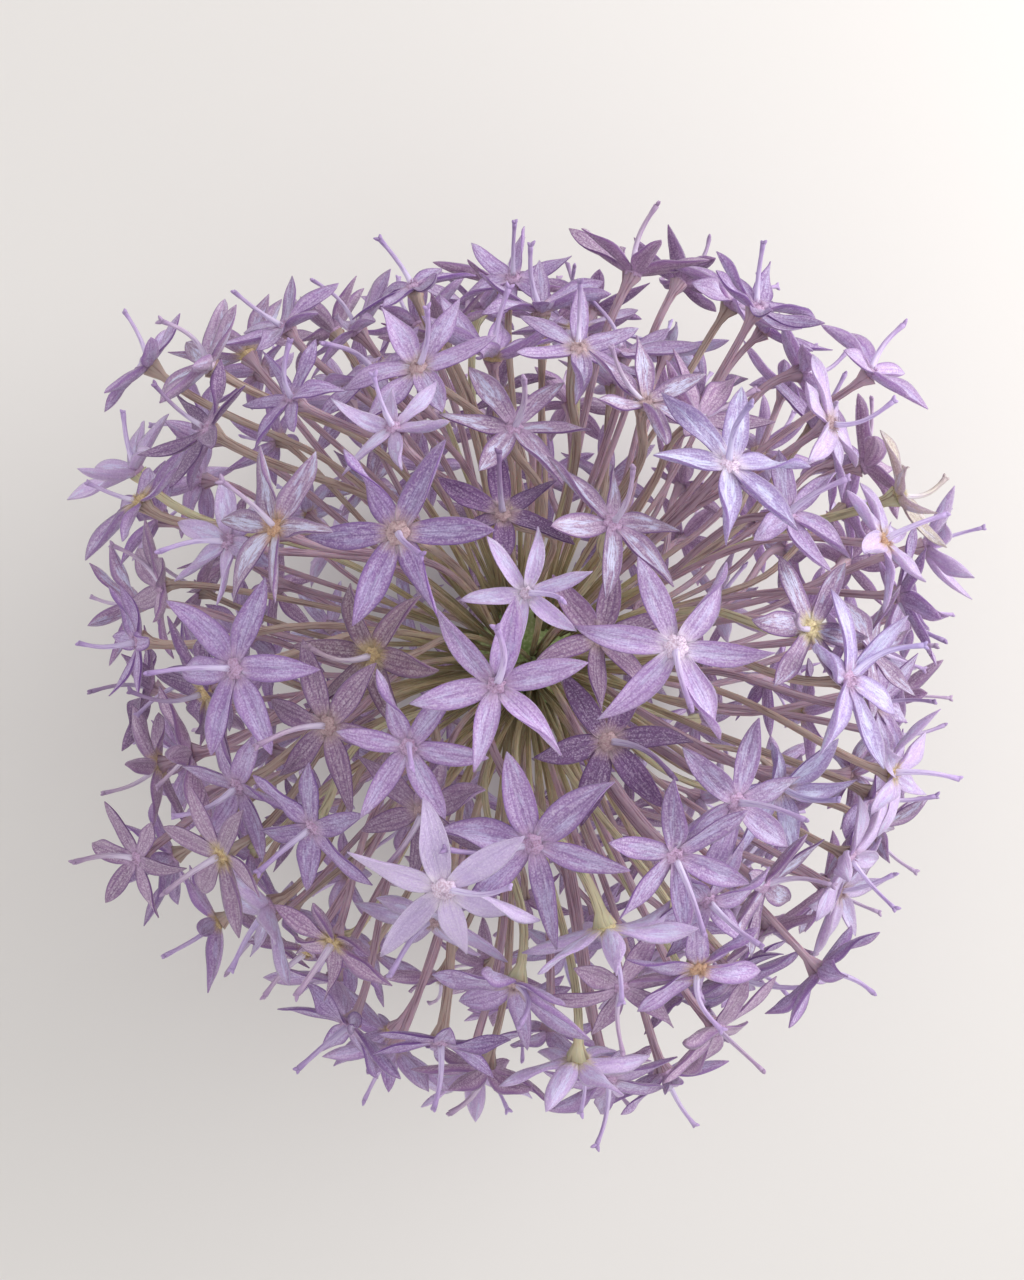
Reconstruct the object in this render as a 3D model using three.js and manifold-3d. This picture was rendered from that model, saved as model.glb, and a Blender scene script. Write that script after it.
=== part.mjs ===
// Giant allium flower head, picked: a globe of star-shaped lilac florets, each on its own long stalk
// (pedicel), radiating from a small receptacle on top of the cut flower stalk (scape).
// Millimetres, +Z up. The head stands on the cut end of its scape and on its lowest florets, and the
// origin is the middle of that cut end. Seen from above, +X is right and +Y is up.
import * as THREE from "three";
import { mergeVertices } from "three/addons/utils/BufferGeometryUtils.js";
import Module from "manifold-3d";

// ---------- Driving dimensions: millimetres and degrees ----------

// The globe
const HUB_RADIUS = 64; // centre of the globe to the middle of an average floret
const GLOBE_HEIGHT = 68; // centre of the globe above the surface: the low florets are pressed flat
const FLORET_COUNT = 218;
const GIRTH = 0.045; // the globe is wider round its equator, by this share
const SHOULDER_SPREAD = 0.08; // how far round a shoulder its bulge reaches
// The globe bulges unevenly. Azimuth and angle from the top of each shoulder, and its share of the radius:
const SHOULDERS = [
  [46, 73, 0.11],
  [145, 73, 0.14],
  [-62, 73, 0.07],
  [-92, 76, 0.03],
  [-150, 74, 0.05],
  [-170, 76, -0.1],
  [84, 78, -0.06],
  [115, 76, -0.05],
];

// A floret: six pointed tepals round a domed centre, with the style standing out of it
const TEPAL_COUNT = 6;
const TEPAL_TURN = 360 / TEPAL_COUNT;
const TEPAL_LENGTH = 11.3; // from the middle of the floret
const TEPAL_HALF_WIDTH = 1.85; // at the shoulder of the tepal
const TEPAL_SHOULDER = 5.6; // from the middle of the floret to the widest place
const NOTCH_RADIUS = 1.9; // where two neighbouring tepals part
const TEPAL_CURL = 0.8; // how far a tip bends up out of its tepal's own line
const CENTRE_RADIUS = 1.0;
const CENTRE_HEIGHT = 0.9;
const STYLE_LENGTH = 11;
const COLLAR_RADIUS = 1.2; // the flared top of the pedicel, under the tepals
const COLLAR_DEPTH = 1.0;

// Pedicels
const PEDICEL_RADIUS = 0.65;
const PEDICEL_ROOT_RADIUS = 0.45;
const PEDICEL_BEND_AT = 0.6; // share of the way from the globe's centre to the floret
const PEDICEL_SWAY = 5; // how far the pedicels bow sideways together
const SWAY_SCALE = 12; // the bow turns once in about six times this length

// Receptacle and scape
const CYME_COUNT = 12; // the umbel is made of contracted cymes, each with its own base
const RECEPTACLE_INNER = 7;
const RECEPTACLE_OUTER = 9.4;
const RECEPTACLE_UNDERSIDE = 7.5; // below the globe's centre
const ROOT_RADIUS = 8.6; // where the pedicels start, inside the receptacle
const ROOT_LIFT = 0.86; // the lowest pedicels start at the receptacle's side, at this share of their angle
const ROOT_GATHER = 0.64; // pedicels start gathered towards the middle of their own cyme
const SCAPE_RADIUS = 4.5;
const SCAPE_DOME_RADIUS = 6.6;
const SCAPE_SIDES = 14;
const DOME_STEPS = 3;
const GAP = 0.3; // between pieces that touch

// Natural variation
const SEED = 220;
const SIZE_SPREAD = 0.07; // florets are up to this share larger or smaller
const CUP_LOW = -6; // degrees that tepals rise out of the floret's plane
const CUP_HIGH = 22;
const CROWN_CUP_HIGH = 12;
const RISE_LOW = -7.5; // how far a floret may sit under or over the average radius
const RISE_HIGH = 2.5;
const TILT = 0.36; // sideways lean of a floret's axis, as a tangent
const STYLE_LEAN = 60; // the most that a style leans off its floret's axis
const CROWN_RISE = 1.5; // the hand-placed florets vary only this much
const CROWN_TILT = 0.13;
const CROWN_SPIN = 7;
const CHOICES = 100; // poses tried for each floret
const CLEAR = 0.55; // a pose this clear of the others is taken at once
const SPREAD_ROUNDS = 40;
const SPREAD_REACH = 0.27; // directions closer than this on the unit globe push each other apart
const SPREAD_STEP = 0.3;

// Florets of the crown, placed by hand:
// azimuth, angle from the top, rise over the average radius, spin, outward lean, the style's direction
// and lean, and size
const CROWN = [
  [-111, 25.5, 4, 46, 0, 30, 60, 1.17],
  [-151, 4, 3, 20, 0, 85, 40, 0.98],
  [93, 8, 2, 16, 0, -15, 40, 0.72],
  [7, 15, 4, 46, 0, -95, 45, 1.12],
  [135, 20, 3, 56, 0, -35, 45, 1.14],
  [152, 33, 2, 46, 0, 100, 15, 1.02],
  [-179, 35, 2, 12, 0, -180, 40, 1.12],
  [-163, 26, -1, 48, 0, -165, 25, 1],
  [-146, 16, 2, 46, 0, 0, 20, 0.9],
  [-143, 32.5, 2, 18, 0, -140, 35, 0.93],
  [-126, 22, -3, 20, 0, -125, 40, 0.95],
  [-89, 20.5, 2, 50, 0, 173, 60, 1.15],
  [-53, 27, 2, 34, 0, -75, 60, 1],
  [-34, 30, 1, 20, 0, -5, 35, 1],
  [-3, 40, 3, 40, 0, 30, 50, 1.1],
  [7, 35.5, 1, 0, 0, 178, 60, 0.95],
  [45, 32, 4, 8, 0, 140, 20, 1.1],
  [66, 35, 2, 32, 0, 150, 55, 0.88],
  [120, 33, 2, 38, 0, 90, 15, 0.78],
  [144, 52, 1, 22, 0, 120, 20, 0.92],
  [132, 46.5, 0, 50, 0, 50, 45, 0.8],
  [158, 41, 2, 40, 0, 200, 55, 0.88],
  [92, 73, 2, 12, -40, 75, 20, 0.9],
  [81, 42, 1, 30, 0, 95, 45, 0.9],
  [57, 57, 3, 10, 0, 100, 40, 0.92],
  [30, 37.5, 1, 30, 0, 25, 35, 0.92],
  [20, 9.5, -6, 8, 0, 0, 40, 0.92],
  [100, 21, -9, 30, 0, 100, 25, 0.9],
  [177, 21.5, -6, 58, 0, -180, 30, 0.98],
  [-157, 44, -1, 0, 0, -155, 35, 0.95],
  [-148, 46, 2, 45, 0, -145, 40, 0.95],
  [-153, 71, 6, 46, -40, 170, 45, 0.9],
  [-125, 45, 1, 20, 0, -125, 30, 0.88],
  [-74, 31, 3, 30, 60, -62, 10, 1.05],
  [-83, 53, 2, 0, 50, -80, 15, 0.95],
  [-53, 37.5, 1, 10, 0, -30, 40, 0.9],
  [-74, 44.5, -1, 15, 0, -95, 50, 0.92],
  [-61, 44, 2, 40, 0, -70, 50, 0.95],
  [-103, 53, 2, 20, 0, -95, 25, 0.92],
  [19, 48, 2, 20, 0, 20, 25, 0.9],
  [24, 59.5, 0, 45, 0, 20, 40, 0.85],
  [-17, 55, 1, 30, 0, 0, 30, 0.88],
  [-45, 17, -14, 6, 0, -30, 40, 1.1],
  [142, 70, 3, 30, 0, 85, 30, 0.88],
  [107, 62, 1, 20, 0, 135, 35, 0.88],
  [126, 64, 2, 35, 0, 165, 35, 0.88],
  [40, 64, 2, 15, 0, 60, 35, 0.88],
  [177, 58, 3, 0, 0, 185, 25, 0.85],
];

// Materials
const LILACS = [0xb496c8, 0xa88fc6, 0xbf9fc4, 0xad99d0];
const STALK_GREEN = 0x8f9a55;

// ---------- Small helpers ----------

const wasm = await Module();
wasm.setup();

const CENTRE = new THREE.Vector3(0, 0, GLOBE_HEIGHT);
const NADIR = new THREE.Vector3(0, 0, -1);
const GOLDEN_ANGLE = Math.PI * (3 - Math.sqrt(5));

function makeRandom(seed) {
  let state = seed;
  return (low, high) => {
    state = (state * 16807) % 2147483647;
    return low + ((high - low) * state) / 2147483647;
  };
}

const radians = THREE.MathUtils.degToRad;

function direction(azimuth, fromTop) {
  return new THREE.Vector3(
    Math.sin(radians(fromTop)) * Math.cos(radians(azimuth)),
    Math.sin(radians(fromTop)) * Math.sin(radians(azimuth)),
    Math.cos(radians(fromTop)),
  );
}

function spiralDirection(height, index) {
  const across = Math.sqrt(1 - height * height);
  const turn = index * GOLDEN_ANGLE;
  return new THREE.Vector3(across * Math.cos(turn), across * Math.sin(turn), height);
}

// The plane's X and Y axes carried from straight up to the given axis by the shortest turn
function carriedFrame(axis) {
  const share = 1 / (1 + axis.z);
  return [
    new THREE.Vector3(1 - axis.x * axis.x * share, -axis.x * axis.y * share, -axis.x),
    new THREE.Vector3(-axis.x * axis.y * share, 1 - axis.y * axis.y * share, -axis.y),
  ];
}

function along(origin, ...steps) {
  const point = origin.clone();
  for (const [vector, distance] of steps) {
    point.addScaledVector(vector, distance);
  }
  return point;
}

// ---------- Where the florets point ----------

function nearestTo(target, directions) {
  return directions.reduce((best, each) => (each.dot(target) > best.dot(target) ? each : best));
}

// Every crown floret takes the place of the nearest one of an even spiral. The crown florets stay
// where they are, and the others push each other apart.
function spreadDirections() {
  const fixed = CROWN.map(([azimuth, fromTop]) => direction(azimuth, fromTop));
  let free = [];
  for (let i = 0; i < FLORET_COUNT; i += 1) {
    free.push(spiralDirection(1 - (2 * (i + 0.5)) / FLORET_COUNT, i));
  }
  for (const crownFloret of fixed) {
    const nearest = nearestTo(crownFloret, free);
    free = free.filter((each) => each !== nearest);
  }
  for (let round = 0; round < SPREAD_ROUNDS; round += 1) {
    const all = [...fixed, ...free, NADIR];
    free = free.map((here) => {
      const push = new THREE.Vector3();
      for (const other of all) {
        const distance = here.distanceTo(other);
        if (distance > 0 && distance < SPREAD_REACH) {
          const strength = (SPREAD_STEP * (SPREAD_REACH - distance)) / distance;
          push.addScaledVector(here.clone().sub(other), strength);
        }
      }
      return here.clone().add(push).normalize();
    });
  }
  return [...fixed, ...free];
}

// The globe's radius relative to a true sphere
function growth(towards) {
  let factor = 1 + GIRTH * (1 - towards.z ** 2);
  for (const [azimuth, fromTop, rise] of SHOULDERS) {
    const nearness = towards.dot(direction(azimuth, fromTop)) - 1;
    factor += rise * Math.exp(nearness / SHOULDER_SPREAD);
  }
  return factor;
}

// ---------- The pose of one floret ----------

// towards: unit vector from the globe's centre. Returns the floret's middle, its axes and its size.
function poseFloret(towards, traits, change) {
  const [right, up] = carriedFrame(towards);
  const azimuth = Math.atan2(towards.y, towards.x);
  const outward = along(new THREE.Vector3(), [right, Math.cos(azimuth)], [up, Math.sin(azimuth)]);
  const lean = radians(traits.lean);
  const axis = along(
    new THREE.Vector3(),
    [towards, Math.cos(lean)],
    [outward, Math.sin(lean)],
    [right, change.tiltX],
    [up, change.tiltY],
  ).normalize();
  const [frameX, frameY] = carriedFrame(axis);
  const spin = radians(traits.spin + change.spin);
  const u = along(new THREE.Vector3(), [frameX, Math.cos(spin)], [frameY, Math.sin(spin)]);
  const v = new THREE.Vector3().crossVectors(axis, u);
  const styleTurn = radians(traits.styleTurn);
  const styleLean = radians(traits.styleLean);
  const style = along(
    new THREE.Vector3(),
    [axis, Math.cos(styleLean)],
    [frameX, Math.sin(styleLean) * Math.cos(styleTurn)],
    [frameY, Math.sin(styleLean) * Math.sin(styleTurn)],
  );
  const radius = HUB_RADIUS * growth(towards) + traits.rise + change.rise;
  const middle = along(CENTRE, [towards, radius]);
  const floret = { ...traits, towards, axis, u, v, style, middle };
  const lowest = Math.min(...outerTips(floret).map((tip) => tip.z));
  floret.middle.z -= Math.min(0, lowest); // pressed up by the surface that the head rests on
  floret.bend = bendPoint(towards, radius);
  return floret;
}

// The pedicels bow together in a smooth pattern, so that they never cross
function bendPoint(towards, radius) {
  const point = along(CENTRE, [towards, radius * PEDICEL_BEND_AT]);
  const sway = new THREE.Vector3(
    Math.sin(point.y / SWAY_SCALE),
    Math.sin(point.z / SWAY_SCALE),
    Math.sin(point.x / SWAY_SCALE),
  );
  return point.addScaledVector(sway, PEDICEL_SWAY);
}

// Unit vectors along and across one tepal, at an angle round the floret's axis
function tepalFrame(floret, angle) {
  const out = along(new THREE.Vector3(), [floret.u, Math.cos(angle)], [floret.v, Math.sin(angle)]);
  const across = new THREE.Vector3().crossVectors(floret.axis, out);
  const cup = radians(floret.cup);
  const rising = along(new THREE.Vector3(), [out, Math.cos(cup)], [floret.axis, Math.sin(cup)]);
  return { out, across, rising };
}

const TEPAL_ANGLES = Array.from({ length: TEPAL_COUNT }, (_, i) => radians(i * TEPAL_TURN));

function tepalTip(floret, angle) {
  const { rising } = tepalFrame(floret, angle);
  const { size, axis, middle } = floret;
  return along(middle, [rising, TEPAL_LENGTH * size], [axis, TEPAL_CURL * size]);
}

function styleTip(floret) {
  return along(floret.middle, [floret.style, STYLE_LENGTH * floret.size]);
}

function outerTips(floret) {
  return [styleTip(floret), ...TEPAL_ANGLES.map((angle) => tepalTip(floret, angle))];
}

// ---------- Keeping florets clear of each other ----------

// Each tepal is a row of flat beads, and the style and the pedicel are rows of round ones.
// A flat bead's distance from the floret's middle, and its half width:
const TEPAL_BEADS = [
  [3.2, 1.3],
  [5.7, 1.85],
  [8.3, 1.3],
  [10.8, 0.6],
];
const ROD_BEAD = 0.9; // half width of a round bead
const ROD_STEP = 1.9;
const STYLE_BEADS = 6;
const PEDICEL_BEADS = 10;
const FLAT_GAP = 1.0; // two half thicknesses of a tepal
const ROD_GAP = 1.15; // half a tepal's thickness and the radius of a pedicel

function beadsOf(floret) {
  const blades = [];
  for (const angle of TEPAL_ANGLES) {
    const { rising } = tepalFrame(floret, angle);
    for (const [distance, halfWidth] of TEPAL_BEADS) {
      const lift = TEPAL_CURL * (distance / TEPAL_LENGTH) ** 2;
      const spot = along(floret.middle, [rising, distance * floret.size], [floret.axis, lift]);
      blades.push([spot.x, spot.y, spot.z, halfWidth]);
    }
  }
  const rods = [];
  for (let i = 1; i <= STYLE_BEADS; i += 1) {
    const spot = along(floret.middle, [floret.style, i * ROD_STEP * floret.size]);
    rods.push([spot.x, spot.y, spot.z, ROD_BEAD]);
  }
  const inward = floret.bend.clone().sub(floret.middle).normalize();
  for (let i = 1; i <= PEDICEL_BEADS; i += 1) {
    const spot = along(floret.middle, [inward, i * ROD_STEP]);
    rods.push([spot.x, spot.y, spot.z, ROD_BEAD]);
  }
  return { blades, rods };
}

// The least room between two rows of beads: over or under each other along the normal, or side by side
function leastRoom(beads, others, normal, gap) {
  let least = Infinity;
  for (const [x, y, z, halfWidth] of beads) {
    for (const [otherX, otherY, otherZ, otherHalfWidth] of others) {
      const dx = x - otherX;
      const dy = y - otherY;
      const dz = z - otherZ;
      const over = dx * normal.x + dy * normal.y + dz * normal.z;
      const beside = Math.sqrt(Math.max(0, dx * dx + dy * dy + dz * dz - over * over));
      const room = Math.max(Math.abs(over) - gap, beside - halfWidth - otherHalfWidth);
      least = Math.min(least, room);
    }
  }
  return least;
}

const NO_NORMAL = new THREE.Vector3();

function roomBetween(a, b) {
  const shared = a.axis.clone().add(b.axis).normalize();
  return Math.min(
    leastRoom(a.beads.blades, b.beads.blades, shared, FLAT_GAP),
    leastRoom(a.beads.blades, b.beads.rods, a.axis, ROD_GAP),
    leastRoom(a.beads.rods, b.beads.blades, b.axis, ROD_GAP),
    leastRoom(a.beads.rods, b.beads.rods, NO_NORMAL, 0),
  );
}

const NEIGHBOUR_REACH = 25; // florets further apart than this can't touch

function placeFlorets() {
  const random = makeRandom(SEED);
  const placed = [];
  spreadDirections().forEach((towards, index) => {
    const byHand = CROWN[index];
    const traits = {
      size: byHand ? byHand[7] : random(1 - SIZE_SPREAD, 1 + SIZE_SPREAD),
      cup: random(CUP_LOW, byHand ? CROWN_CUP_HIGH : CUP_HIGH),
      rise: byHand ? byHand[2] : 0,
      spin: byHand ? byHand[3] : random(0, TEPAL_TURN),
      lean: byHand ? byHand[4] : 0,
      styleTurn: byHand ? byHand[5] : random(0, 360),
      styleLean: byHand ? byHand[6] : random(0, STYLE_LEAN),
    };
    const tilt = byHand ? CROWN_TILT : TILT;
    const spin = byHand ? CROWN_SPIN : TEPAL_TURN / 2;
    const riseLow = byHand ? -CROWN_RISE : RISE_LOW;
    const riseHigh = byHand ? CROWN_RISE : RISE_HIGH;
    const changes = [];
    for (let i = 0; i < CHOICES; i += 1) {
      changes.push({
        rise: random(riseLow, riseHigh),
        spin: random(-spin, spin),
        tiltX: random(-tilt, tilt),
        tiltY: random(-tilt, tilt),
      });
    }
    let best = null;
    for (const change of changes) {
      const floret = poseFloret(towards, traits, change);
      floret.beads = beadsOf(floret);
      floret.room = CLEAR;
      for (const other of placed) {
        if (other.middle.distanceTo(floret.middle) < NEIGHBOUR_REACH) {
          floret.room = Math.min(floret.room, roomBetween(floret, other));
        }
      }
      if (!best || floret.room > best.room) {
        best = floret;
      }
      if (best.room >= CLEAR) {
        break;
      }
    }
    placed.push(best);
  });
  return placed;
}

// ---------- Solids ----------

function toGeometry(vertices, triangles) {
  const geometry = new THREE.BufferGeometry();
  geometry.setAttribute("position", new THREE.Float32BufferAttribute(vertices, 3));
  geometry.setIndex(triangles);
  return geometry;
}

function toSolid(geometry) {
  const bare = geometry.clone();
  bare.deleteAttribute("normal");
  bare.deleteAttribute("uv");
  const merged = mergeVertices(bare, 1e-4);
  return new wasm.Manifold(
    new wasm.Mesh({
      numProp: 3,
      vertProperties: new Float32Array(merged.attributes.position.array),
      triVerts: new Uint32Array(merged.index.array),
    }),
  );
}

function toMesh(name, solid, colour) {
  const result = solid.getMesh();
  const geometry = toGeometry(Array.from(result.vertProperties), Array.from(result.triVerts));
  geometry.computeVertexNormals();
  const material = new THREE.MeshStandardMaterial({ color: colour, roughness: 0.7, metalness: 0 });
  const mesh = new THREE.Mesh(geometry, material);
  mesh.name = name;
  return mesh;
}

const RING_ANGLES = [30, 150, 270]; // each corner looks out between two tepals

// Three points round a line, in the floret's own turn
function ring(middle, line, turn, radius) {
  const first = along(turn, [line, -turn.dot(line)]).normalize();
  const second = new THREE.Vector3().crossVectors(line, first);
  return RING_ANGLES.map((angle) =>
    along(
      middle,
      [first, radius * Math.cos(radians(angle))],
      [second, radius * Math.sin(radians(angle))],
    ),
  );
}

// The star's outline: notch, shoulder, tip and shoulder of each tepal in turn
function starOutline(floret) {
  const { size, middle, u, v } = floret;
  const outline = [];
  for (const angle of TEPAL_ANGLES) {
    const { across, rising } = tepalFrame(floret, angle);
    const notch = angle - radians(TEPAL_TURN / 2);
    const reach = TEPAL_SHOULDER * size;
    const half = TEPAL_HALF_WIDTH * size;
    outline.push(along(middle, [u, NOTCH_RADIUS * Math.cos(notch)], [v, NOTCH_RADIUS * Math.sin(notch)]));
    outline.push(along(middle, [rising, reach], [across, -half]));
    outline.push(tepalTip(floret, angle));
    outline.push(along(middle, [rising, reach], [across, half]));
  }
  return outline;
}

// One closed body: root, bent pedicel, collar, star of six tepals, and style
function floretSolid(floret, root) {
  const { axis, u, middle, bend } = floret;
  const collar = along(middle, [axis, -COLLAR_DEPTH]);
  const inner = bend.clone().sub(root).normalize();
  const rows = [
    ring(root, inner, u, PEDICEL_ROOT_RADIUS),
    ring(bend, inner, u, PEDICEL_RADIUS),
    ring(collar, axis, u, COLLAR_RADIUS),
    ring(along(middle, [axis, CENTRE_HEIGHT]), axis, u, CENTRE_RADIUS),
  ];
  const outline = starOutline(floret);
  const points = [...rows.flat(), ...outline, styleTip(floret)];
  const [rootRow, bendRow, collarRow, centreRow] = [0, 3, 6, 9];
  const firstOutline = 12;
  const tip = points.length - 1;
  const perRow = outline.length / 3;
  const triangles = [rootRow, rootRow + 2, rootRow + 1];
  for (let k = 0; k < 3; k += 1) {
    const next = (k + 1) % 3;
    for (const [below, above] of [
      [rootRow, bendRow],
      [bendRow, collarRow],
    ]) {
      triangles.push(below + k, below + next, above + next, below + k, above + next, above + k);
    }
    for (let i = 0; i < perRow; i += 1) {
      const here = firstOutline + k * perRow + i;
      const ahead = firstOutline + ((k * perRow + i + 1) % outline.length);
      triangles.push(centreRow + k, here, ahead, collarRow + k, ahead, here);
    }
    const seam = firstOutline + next * perRow;
    triangles.push(centreRow + k, seam, centreRow + next, collarRow + k, collarRow + next, seam);
    triangles.push(centreRow + k, centreRow + next, tip);
  }
  return toSolid(toGeometry(points.flatMap((point) => point.toArray()), triangles));
}

// A cyme's share of the receptacle: a block along its axis, cut where it meets the next cymes
function receptacleShare(axis, axes, scapeRoom) {
  const depth = RECEPTACLE_OUTER - RECEPTACLE_INNER;
  const block = new THREE.BoxGeometry(2 * RECEPTACLE_OUTER, 2 * RECEPTACLE_OUTER, depth);
  block.translate(0, 0, (RECEPTACLE_INNER + RECEPTACLE_OUTER) / 2);
  block.applyQuaternion(new THREE.Quaternion().setFromUnitVectors(new THREE.Vector3(0, 0, 1), axis));
  let share = toSolid(block);
  for (const other of axes) {
    if (other !== axis) {
      share = share.trimByPlane(axis.clone().sub(other).normalize().toArray(), GAP / 2);
    }
  }
  share = share.trimByPlane([0, 0, 1], -RECEPTACLE_UNDERSIDE);
  return share.translate(CENTRE.toArray()).subtract(scapeRoom);
}

// A turned solid whose top is a dome round the globe's centre
function scapeSolid(radius, domeRadius) {
  const shoulder = Math.sqrt(domeRadius * domeRadius - radius * radius);
  const profile = [
    new THREE.Vector2(0, 0),
    new THREE.Vector2(radius, 0),
    new THREE.Vector2(radius, GLOBE_HEIGHT - RECEPTACLE_UNDERSIDE),
    new THREE.Vector2(radius, GLOBE_HEIGHT + shoulder),
  ];
  const startAngle = Math.asin(shoulder / domeRadius);
  for (let step = 1; step <= DOME_STEPS; step += 1) {
    const angle = startAngle + ((Math.PI / 2 - startAngle) * step) / DOME_STEPS;
    const across = step === DOME_STEPS ? 0 : domeRadius * Math.cos(angle);
    profile.push(new THREE.Vector2(across, GLOBE_HEIGHT + domeRadius * Math.sin(angle)));
  }
  const turned = new THREE.LatheGeometry(profile, SCAPE_SIDES);
  turned.rotateX(Math.PI / 2);
  return toSolid(turned);
}

// ---------- The flower head ----------

function cymeAxes() {
  const axes = [];
  for (let i = 0; i < CYME_COUNT; i += 1) {
    axes.push(rootDirection(spiralDirection(1 - (2 * (i + 0.5)) / CYME_COUNT, i)));
  }
  return axes;
}

// Where on the receptacle a floret's pedicel starts
function rootDirection(towards) {
  const fromTop = ROOT_LIFT * Math.acos(towards.z);
  const across = Math.sin(fromTop) / Math.hypot(towards.x, towards.y);
  return new THREE.Vector3(towards.x * across, towards.y * across, Math.cos(fromTop));
}

function buildHead() {
  const head = new THREE.Group();
  head.add(toMesh("scape", scapeSolid(SCAPE_RADIUS, SCAPE_DOME_RADIUS), STALK_GREEN));
  const scapeRoom = scapeSolid(SCAPE_RADIUS + GAP, SCAPE_DOME_RADIUS + GAP);
  const axes = cymeAxes();
  const cymes = axes.map((axis) => receptacleShare(axis, axes, scapeRoom));
  for (const floret of placeFlorets()) {
    const start = rootDirection(floret.towards);
    const axis = nearestTo(start, axes);
    const gathered = new THREE.Vector3().lerpVectors(axis, start, ROOT_GATHER).normalize();
    const root = along(CENTRE, [gathered, ROOT_RADIUS]);
    const index = axes.indexOf(axis);
    cymes[index] = cymes[index].add(floretSolid(floret, root));
  }
  cymes.forEach((cyme, index) => {
    const name = `cyme_${String(index + 1).padStart(2, "0")}`;
    head.add(toMesh(name, cyme, LILACS[index % LILACS.length]));
  });
  return head;
}

const group = buildHead();
export default group;
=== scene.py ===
"""A giant allium flower head on a pale table, seen from straight above.

The frame holds the head as plain solids. Here the same florets are placed by the same rule, and each
is built finely: veined tepals, a fuzzy centre, a knobbed style and a grooved pedicel. The rule works
in millimetres, and a piece's mesh is turned into metres where it is made.
"""

import math

import bpy
import numpy as np
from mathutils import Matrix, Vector


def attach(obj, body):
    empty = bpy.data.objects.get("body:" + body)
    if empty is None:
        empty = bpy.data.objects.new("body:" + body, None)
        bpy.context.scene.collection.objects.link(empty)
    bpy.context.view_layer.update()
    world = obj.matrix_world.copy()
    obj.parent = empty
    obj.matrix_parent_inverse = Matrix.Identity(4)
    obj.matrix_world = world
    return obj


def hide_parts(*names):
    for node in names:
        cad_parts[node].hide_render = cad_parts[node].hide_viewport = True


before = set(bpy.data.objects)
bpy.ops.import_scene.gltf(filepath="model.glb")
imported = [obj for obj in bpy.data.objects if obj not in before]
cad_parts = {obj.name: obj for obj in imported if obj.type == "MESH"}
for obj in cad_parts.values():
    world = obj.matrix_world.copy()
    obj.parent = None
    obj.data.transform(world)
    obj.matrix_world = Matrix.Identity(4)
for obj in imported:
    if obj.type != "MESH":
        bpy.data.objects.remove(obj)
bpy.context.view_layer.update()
MM = 0.001

# ---------- The head's rule, as in the frame: millimetres and degrees ----------

HUB_RADIUS = 64
GLOBE_HEIGHT = 68
FLORET_COUNT = 218
GIRTH = 0.045
SHOULDER_SPREAD = 0.08
# The globe's uneven bulges: azimuth, angle from the top, and share of the radius
SHOULDERS = [
    (46, 73, 0.11),
    (145, 73, 0.14),
    (-62, 73, 0.07),
    (-92, 76, 0.03),
    (-150, 74, 0.05),
    (-170, 76, -0.1),
    (84, 78, -0.06),
    (115, 76, -0.05),
]

TEPAL_COUNT = 6
TEPAL_TURN = 360 / TEPAL_COUNT
TEPAL_LENGTH = 11.3
TEPAL_HALF_WIDTH = 1.85
TEPAL_CURL = 0.8
STYLE_LENGTH = 11

PEDICEL_BEND_AT = 0.6
PEDICEL_SWAY, SWAY_SCALE = 5, 12

CYME_COUNT = 12
RECEPTACLE_OUTER = 9.4
RECEPTACLE_UNDERSIDE = 7.5
ROOT_RADIUS, ROOT_LIFT, ROOT_GATHER = 8.6, 0.86, 0.64
SCAPE_RADIUS = 4.5

SEED = 220
SIZE_SPREAD = 0.07
CUP_LOW, CUP_HIGH, CROWN_CUP_HIGH = -6, 22, 12
RISE_LOW, RISE_HIGH = -7.5, 2.5
TILT, STYLE_LEAN = 0.36, 60
CROWN_RISE, CROWN_TILT, CROWN_SPIN = 1.5, 0.13, 7
CHOICES, CLEAR = 100, 0.55
SPREAD_ROUNDS, SPREAD_REACH, SPREAD_STEP, LEAST_DISTANCE = 40, 0.27, 0.3, 1e-12

TEPAL_BEADS = [(3.2, 1.3), (5.7, 1.85), (8.3, 1.3), (10.8, 0.6)]  # distance, half width
ROD_BEAD, ROD_STEP = 0.9, 1.9
STYLE_BEADS, PEDICEL_BEADS = 6, 10
FLAT_GAP, ROD_GAP = 1.0, 1.15
NEIGHBOUR_REACH = 25

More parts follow.
